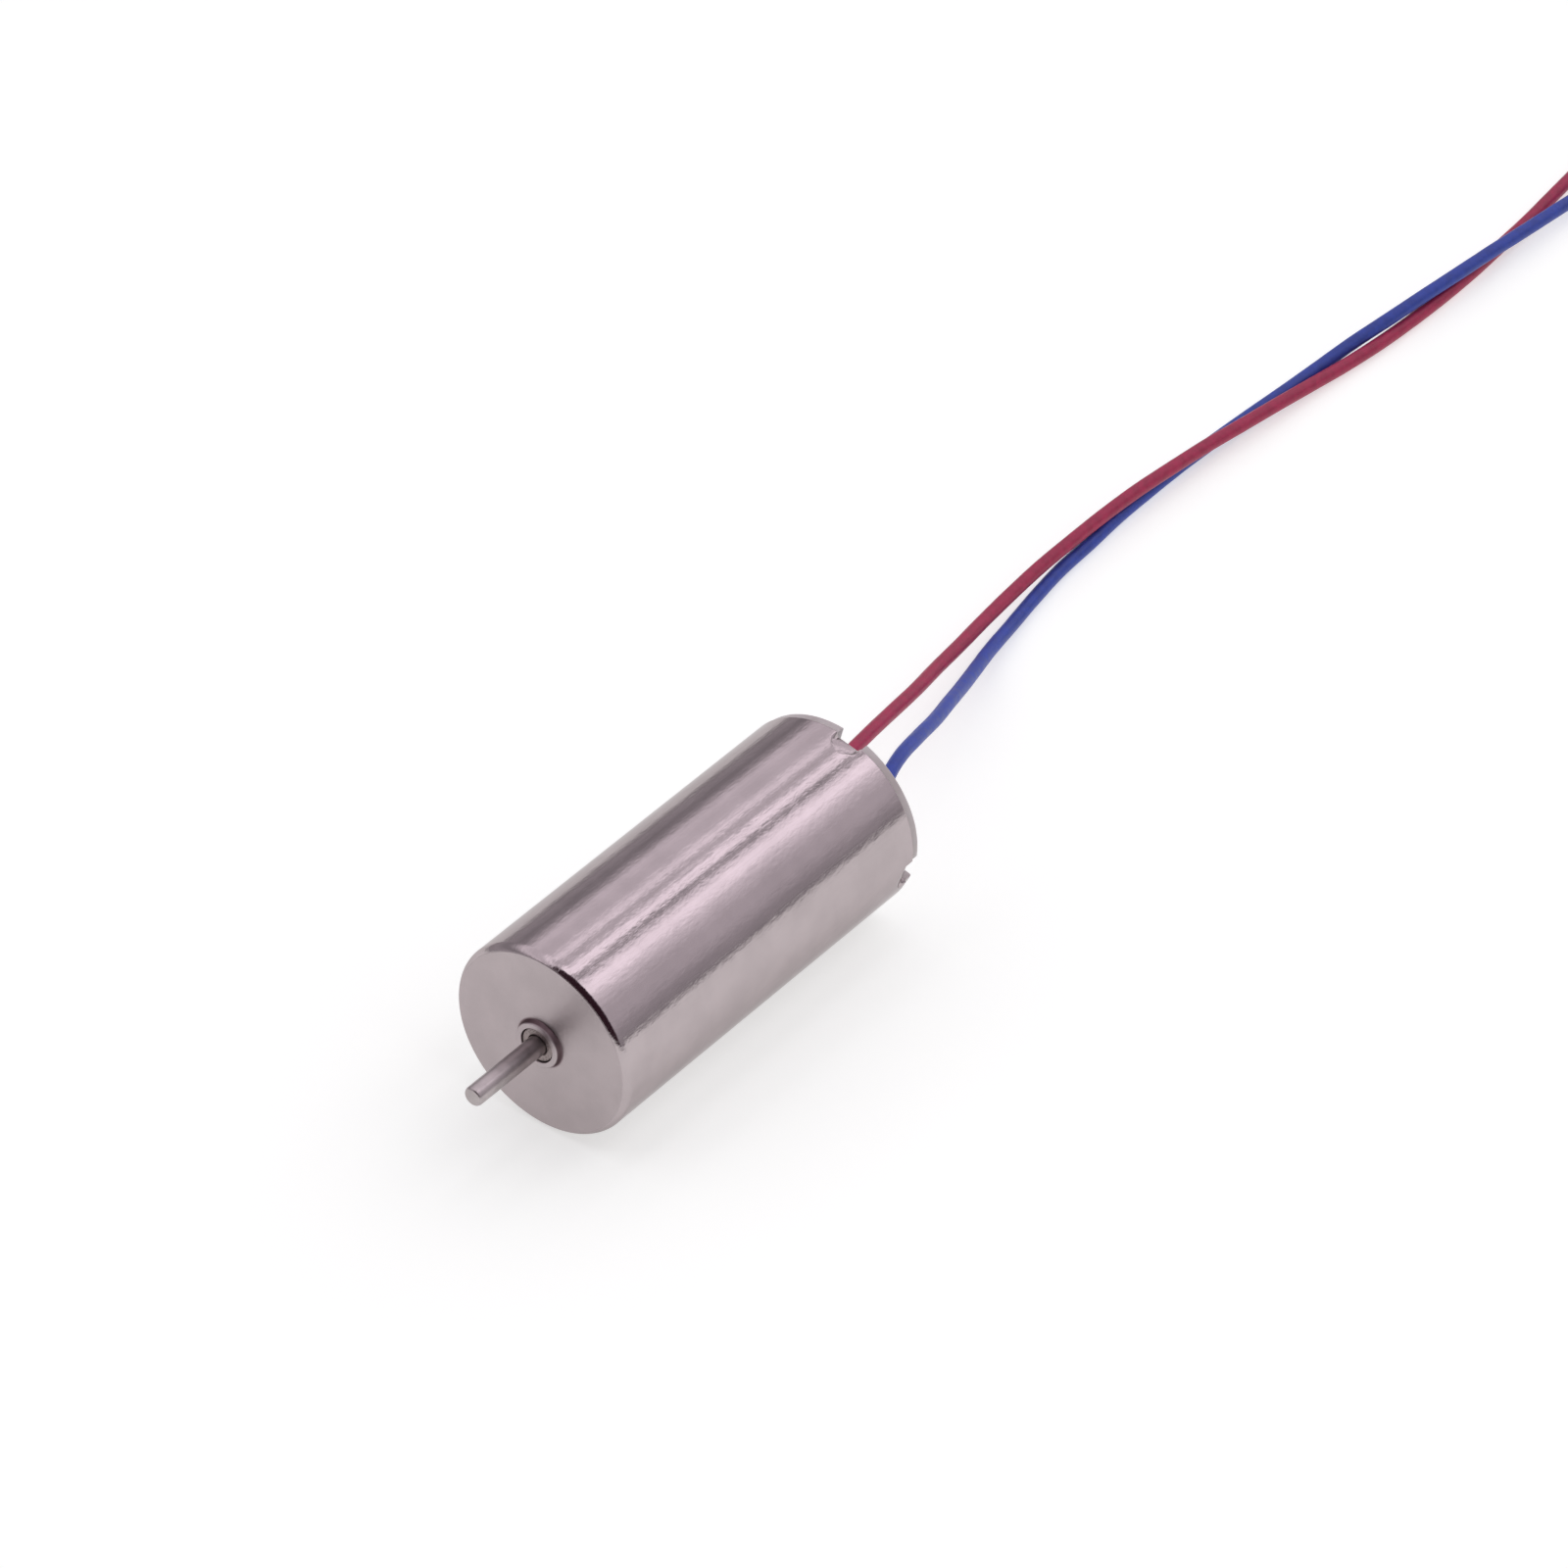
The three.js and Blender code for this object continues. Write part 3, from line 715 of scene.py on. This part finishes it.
def make_solder(colour, angle):
    """A drop of solder round the terminal's tail and the stripped end of the lead."""
    low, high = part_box(f"solder_joint_{colour}")
    length = high.y - low.y
    turn = math.radians(angle)
    outward = Vector((math.cos(turn), 0, math.sin(turn)))
    centre = outward * TERMINAL_DISTANCE
    across = Vector((-outward.z, 0, outward.x))
    vertices = []
    faces = []
    rows = 28
    sides = 48
    for k in range(rows + 1):
        t = k / rows
        belly = 0.5 * MM * math.sin(math.pi * min(t * 0.92 + 0.05, 1) ** 0.8) ** 0.75
        neck = 0.19 * MM * smoothstep(0.3, 0.8, t)
        radius = max(belly, neck) * smoothstep(-0.02, 0.06, t)
        flat = 1 - 0.16 * smoothstep(0.8, 0.2, t)
        for i in range(sides):
            a = 2 * math.pi * i / sides
            arm = outward * (math.cos(a) * flat) + across * math.sin(a)
            bulge = 1 + 0.05 * noise.noise(Vector((math.cos(a), math.sin(a), 2.2 * t + angle)) * 1.3)
            vertices.append(centre + arm * radius * bulge + Vector((0, low.y + length * t, 0)))
    for k in range(rows):
        for i in range(sides):
            j = (i + 1) % sides
            faces.append((k * sides + i, k * sides + j, (k + 1) * sides + j, (k + 1) * sides + i))
    faces.append(tuple(range(sides)))
    faces.append(tuple(range(rows * sides, (rows + 1) * sides)))
    drop = add_mesh(f"{colour}_solder", vertices, faces, crease=60)
    finish_piece(drop, "stator", "tinned_metal", TINNED, f"solder_joint_{colour}")


# Inner pieces


def make_rings():
    """The plain round pieces, each from its CAD node's own sizes."""
    brass = brass_strip()
    film = washer_film()
    bronze = sintered_bronze()
    plan = [
        ("front_bearing", "front_bush", "stator", "bush_bronze", bronze, 0.06),
        ("rear_bearing", "rear_bush", "stator", "bush_bronze", bronze, 0.06),
        ("magnet_carrier", "carrier_tube", "stator", "contact_brass", brass, 0.06),
        ("magnet", "magnet_ring", "stator", "magnet_nickel", plated_magnet(), 0.15),
        ("coil_winding", "coil_cup", "rotor", "winding_copper", enamelled_winding(), 0.2),
        ("commutator_core", "commutator_drum", "rotor", "rotor_plastic", PLASTIC, 0.04),
        ("front_thrust_washer", "front_washer", "rotor", "washer_film", film, 0.03),
        ("rear_thrust_washer", "rear_washer", "rotor", "washer_film", film, 0.03),
    ]
    for node, name, body, slot, material, rounding in plan:
        inner, outer, low, high = ring_radii(node)
        piece = collar(name, inner, outer, low, high, rounding * MM)
        finish_piece(piece, body, slot, material, node)


def make_hub():
    """The disc at the coil's rear end that ties it to the shaft."""
    inner, outer, low, high = ring_radii("rotor_hub")
    web = high - 0.8 * MM
    boss = 1.25 * MM
    corners = [
        (inner, low, 0.04 * MM), (boss, low, 0.06 * MM), (boss, web, 0.1 * MM), (outer, web, 0.06 * MM),
        (outer, high, 0.06 * MM), (inner, high, 0.03 * MM),
    ]
    finish_piece(lathe("hub_disc", rounded(corners, 3), 96), "rotor", "rotor_plastic", PLASTIC, "rotor_hub")


def dress_cad_nodes():
    """Small flat pieces whose CAD shape is right get only their material."""
    brass = brass_strip("terminal_brass")
    silver = brass_strip("contact_alloy", (0.66, 0.62, 0.5))
    copper = enamelled_winding()
    looks = {"terminal": brass, "brush": silver, "commutator_segment": silver, "coil_tap": copper}
    for name, node in NODES.items():
        for start, material in looks.items():
            if name.startswith(start):
                node.data.materials.clear()
                node.data.materials.append(material)


# Studio


# The floor: half its side, the centre of its lit part, the distances between which that part fades,
# and its colour and glow near and far.
FLOOR_REACH = 3
FLOOR_CENTRE = (-0.0066, 0.0263)
FLOOR_LIT = (0.066, 0.18)
FLOOR_NEAR = (0.6, 0.64, 0.6)
FLOOR_FAR = (0.33, 0.35, 0.33)
GLOW_COLOUR = (1, 0.995, 0.995)
GLOW_NEAR = 0.545
GLOW_FAR = 0.25

# The light tent: its brightness by the angle about Y from the horizon (degrees, level), which is the
# same on both sides, and its strength and tint.
TENT_LEVELS = [
    (0, 0.23), (6, 0.34), (12, 0.36), (19, 0.47), (27, 0.54), (37, 0.53), (46, 0.67), (52, 0.81), (57, 0.98),
    (62, 1.26), (67, 1.28), (71, 1.08), (75, 0.87), (78.5, 0.4), (81, 0.21), (84, 0.71), (88, 1.29),
    (92, 1.31), (96, 0.86), (101, 0.5), (106, 0.69), (110, 1.15), (114, 0.93), (120, 0.66), (130, 0.66),
    (141, 0.79), (149, 0.44), (155, 0.28), (161, 0.24), (168, 0.32), (174, 0.38), (180, 0.27),
]
TENT_STRENGTH = 1.35
TENT_TINT = (1, 0.935, 1.005)

# The unlit side in front of the motor: two round patches (direction, and the angles from it at which the
# dark is full and gone), kept to where the direction's Y is below the last pair, and the dark's colour.
DARK_FORWARD = -CAMERA_LOOK.y - 0.25
DARK_PATCHES = (
    ((-CAMERA_LOOK.x, DARK_FORWARD, -CAMERA_LOOK.z), 38, 46),
    ((-CAMERA_LOOK.x, DARK_FORWARD, 0.1), 50, 58),
)
DARK_FRONT = (-0.36, -0.14)
DARK_COLOUR = (0.03, 0.012, 0.019)
BACKDROP_COLOUR = (0.72, 0.72, 0.72)


def make_floor():
    corners = [(-1, -1), (1, -1), (1, 1), (-1, 1)]
    vertices = [(x * FLOOR_REACH, y * FLOOR_REACH, CAN_LOW.z) for x, y in corners]
    floor = add_mesh("floor", vertices, [(0, 1, 2, 3)])
    paint = Paint("floor", FLOOR_NEAR, 0.6, specular=0.1)
    paint.set("Emission Color", (*GLOW_COLOUR, 1))
    place = paint.parts(paint.coordinate)
    away = paint.length(paint.add(place["X"], -FLOOR_CENTRE[0]), paint.add(place["Y"], -FLOOR_CENTRE[1]))
    far = paint.remap(away, *FLOOR_LIT, 0, 1)
    paint.tint(far, FLOOR_NEAR, FLOOR_FAR)
    paint.link(paint.remap(far, 0, 1, GLOW_NEAR, GLOW_FAR), paint.shader.inputs["Emission Strength"])
    floor.data.materials.append(paint.material)


def tent_lamps(nodes, turn):
    """The tent's brightness over the angle about Y, as a fraction of its brightest level."""
    lamps = nodes.tree.nodes.new("ShaderNodeValToRGB")
    nodes.link(turn, lamps.inputs["Fac"])
    elements = lamps.color_ramp.elements
    while len(elements) > 1:
        elements.remove(elements[-1])
    elements[0].position = 0
    brightest = max(level for _, level in TENT_LEVELS)
    for degrees, level in TENT_LEVELS:
        element = elements[0] if degrees == 0 else elements.new(degrees / 180)
        element.color = (*scaled(TENT_TINT, level / brightest), 1)
    return nodes.scale(lamps.outputs["Color"], brightest)


def make_world():
    """A light tent round the motor: soft lamps in rows along Y overhead, darker near the horizon, and
    unlit in front. Past the floor's edge the camera sees a plain grey backdrop."""
    world = bpy.data.worlds.new("studio")
    bpy.context.scene.world = world
    world.use_nodes = True
    nodes = Nodes(world.node_tree)
    new_node = nodes.tree.nodes.new
    background = nodes.tree.nodes["Background"]
    background.inputs["Strength"].default_value = TENT_STRENGTH
    direction = new_node("ShaderNodeTexCoord").outputs["Generated"]

    def patch(towards, full, faint):
        node = new_node("ShaderNodeVectorMath")
        node.operation = "DOT_PRODUCT"
        nodes.link(direction, node.inputs[0])
        node.inputs[1].default_value = tuple(Vector(towards).normalized())
        edges = (math.cos(math.radians(angle)) for angle in (faint, full))
        return nodes.remap(node.outputs["Value"], *edges, 0, 1)

    parts = nodes.parts(direction)
    turn = nodes.calculate("DIVIDE", nodes.calculate("ARCTAN2", parts["Z"], parts["X"]), math.pi)
    dark = nodes.calculate("MAXIMUM", *(patch(*row) for row in DARK_PATCHES))
    dark = nodes.multiply(dark, nodes.remap(parts["Y"], *DARK_FRONT, 1, 0))
    tent = nodes.mix(dark, tent_lamps(nodes, turn), DARK_COLOUR)
    camera_ray = new_node("ShaderNodeLightPath").outputs["Is Camera Ray"]
    nodes.link(nodes.mix(camera_ray, tent, BACKDROP_COLOUR), background.inputs["Color"])


bpy.context.scene.view_settings.view_transform = "Standard"
TINNED = solder_metal()
PLASTIC = rotor_plastic()

make_camera()
make_lead("red", RED_ROUTE, RED)
make_lead("blue", BLUE_ROUTE, BLUE)
make_can()
make_cap()
make_shaft()
make_solder("blue", TERMINAL_ANGLE)
make_solder("red", TERMINAL_ANGLE + 180)
make_rings()
make_hub()
dress_cad_nodes()
make_floor()
make_world()
